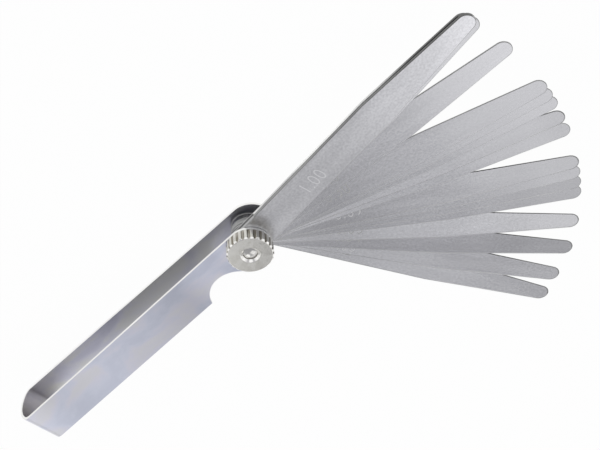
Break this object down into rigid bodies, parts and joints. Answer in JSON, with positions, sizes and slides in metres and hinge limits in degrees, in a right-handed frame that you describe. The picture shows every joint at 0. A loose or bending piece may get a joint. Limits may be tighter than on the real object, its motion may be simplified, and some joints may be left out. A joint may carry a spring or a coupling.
{
  "type": "feeler gauge",
  "caption": "Feeler gauge with graduated tapered steel leaves fanned out on one screw with a fluted clamping nut, in a folded sheet-steel holder with a thumb notch.",
  "frame": {"origin": "on the screw axis, at the flat face of the screw's head that the gauge lies on", "axes": "+Z along the screw, from its head to the nut; +X from the holder's tail to the screw; +Y towards the edge opposite the thumb notch"},
  "size_m": [0.1946, 0.0984, 0.0163],
  "materials": {
    "holder_steel": "satin zinc plate",
    "leaf_steel": "ground spring steel",
    "nickel": "nickel plate"
  },
  "bodies": {
    "holder": {"holder_strap": "holder_steel", "pivot_screw": "nickel"},
    "nut": {"clamp_nut": "nickel"},
    "leaf_1_00mm": {"blade_1_00mm": "leaf_steel"},
    "leaf_0_75mm": {"blade_0_75mm": "leaf_steel"},
    "leaf_0_50mm": {"blade_0_50mm": "leaf_steel"},
    "leaf_0_40mm": {"blade_0_40mm": "leaf_steel"},
    "leaf_0_30mm": {"blade_0_30mm": "leaf_steel"},
    "leaf_0_25mm": {"blade_0_25mm": "leaf_steel"},
    "leaf_0_20mm": {"blade_0_20mm": "leaf_steel"},
    "leaf_0_15mm": {"blade_0_15mm": "leaf_steel"},
    "leaf_0_10mm": {"blade_0_10mm": "leaf_steel"},
    "leaf_0_09mm": {"blade_0_09mm": "leaf_steel"},
    "leaf_0_08mm": {"blade_0_08mm": "leaf_steel"},
    "leaf_0_07mm": {"blade_0_07mm": "leaf_steel"},
    "leaf_0_06mm": {"blade_0_06mm": "leaf_steel"},
    "leaf_0_05mm": {"blade_0_05mm": "leaf_steel"},
    "leaf_0_04mm": {"blade_0_04mm": "leaf_steel"},
    "leaf_0_03mm": {"blade_0_03mm": "leaf_steel"},
    "leaf_0_02mm": {"blade_0_02mm": "leaf_steel"}
  },
  "joints": [
    {"name": "nut_turn", "type": "hinge", "parent": "holder", "child": "nut", "pos_m": [0, 0, 0.0123], "axis": [0, 0, 1], "continuous": true},
    {"name": "swing_1_00mm", "type": "hinge", "parent": "holder", "child": "leaf_1_00mm", "pos_m": [0, 0, 0.0085], "axis": [0, 0, 1], "range_deg": [-184.5, 175.5]},
    {"name": "swing_0_75mm", "type": "hinge", "parent": "holder", "child": "leaf_0_75mm", "pos_m": [0, 0, 0.0085], "axis": [0, 0, 1], "range_deg": [-184.6, 175.4]},
    {"name": "swing_0_50mm", "type": "hinge", "parent": "holder", "child": "leaf_0_50mm", "pos_m": [0, 0, 0.0085], "axis": [0, 0, 1], "range_deg": [-183, 177]},
    {"name": "swing_0_40mm", "type": "hinge", "parent": "holder", "child": "leaf_0_40mm", "pos_m": [0, 0, 0.0085], "axis": [0, 0, 1], "range_deg": [-175, 185]},
    {"name": "swing_0_30mm", "type": "hinge", "parent": "holder", "child": "leaf_0_30mm", "pos_m": [0, 0, 0.0085], "axis": [0, 0, 1], "range_deg": [-164.3, 195.7]},
    {"name": "swing_0_25mm", "type": "hinge", "parent": "holder", "child": "leaf_0_25mm", "pos_m": [0, 0, 0.0085], "axis": [0, 0, 1], "range_deg": [-162.1, 197.9]},
    {"name": "swing_0_20mm", "type": "hinge", "parent": "holder", "child": "leaf_0_20mm", "pos_m": [0, 0, 0.0085], "axis": [0, 0, 1], "range_deg": [-159.9, 200.1]},
    {"name": "swing_0_15mm", "type": "hinge", "parent": "holder", "child": "leaf_0_15mm", "pos_m": [0, 0, 0.0085], "axis": [0, 0, 1], "range_deg": [-156.2, 203.8]},
    {"name": "swing_0_10mm", "type": "hinge", "parent": "holder", "child": "leaf_0_10mm", "pos_m": [0, 0, 0.0085], "axis": [0, 0, 1], "range_deg": [-153.1, 206.9]},
    {"name": "swing_0_09mm", "type": "hinge", "parent": "holder", "child": "leaf_0_09mm", "pos_m": [0, 0, 0.0085], "axis": [0, 0, 1], "range_deg": [-145.3, 214.7]},
    {"name": "swing_0_08mm", "type": "hinge", "parent": "holder", "child": "leaf_0_08mm", "pos_m": [0, 0, 0.0085], "axis": [0, 0, 1], "range_deg": [-142.9, 217.1]},
    {"name": "swing_0_07mm", "type": "hinge", "parent": "holder", "child": "leaf_0_07mm", "pos_m": [0, 0, 0.0085], "axis": [0, 0, 1], "range_deg": [-140.5, 219.5]},
    {"name": "swing_0_06mm", "type": "hinge", "parent": "holder", "child": "leaf_0_06mm", "pos_m": [0, 0, 0.0085], "axis": [0, 0, 1], "range_deg": [-138.1, 221.9]},
    {"name": "swing_0_05mm", "type": "hinge", "parent": "holder", "child": "leaf_0_05mm", "pos_m": [0, 0, 0.0085], "axis": [0, 0, 1], "range_deg": [-131.2, 228.8]},
    {"name": "swing_0_04mm", "type": "hinge", "parent": "holder", "child": "leaf_0_04mm", "pos_m": [0, 0, 0.0085], "axis": [0, 0, 1], "range_deg": [-124.7, 235.3]},
    {"name": "swing_0_03mm", "type": "hinge", "parent": "holder", "child": "leaf_0_03mm", "pos_m": [0, 0, 0.0085], "axis": [0, 0, 1], "range_deg": [-117, 243]},
    {"name": "swing_0_02mm", "type": "hinge", "parent": "holder", "child": "leaf_0_02mm", "pos_m": [0, 0, 0.0085], "axis": [0, 0, 1], "range_deg": [-111.9, 248.1]}
  ]
}
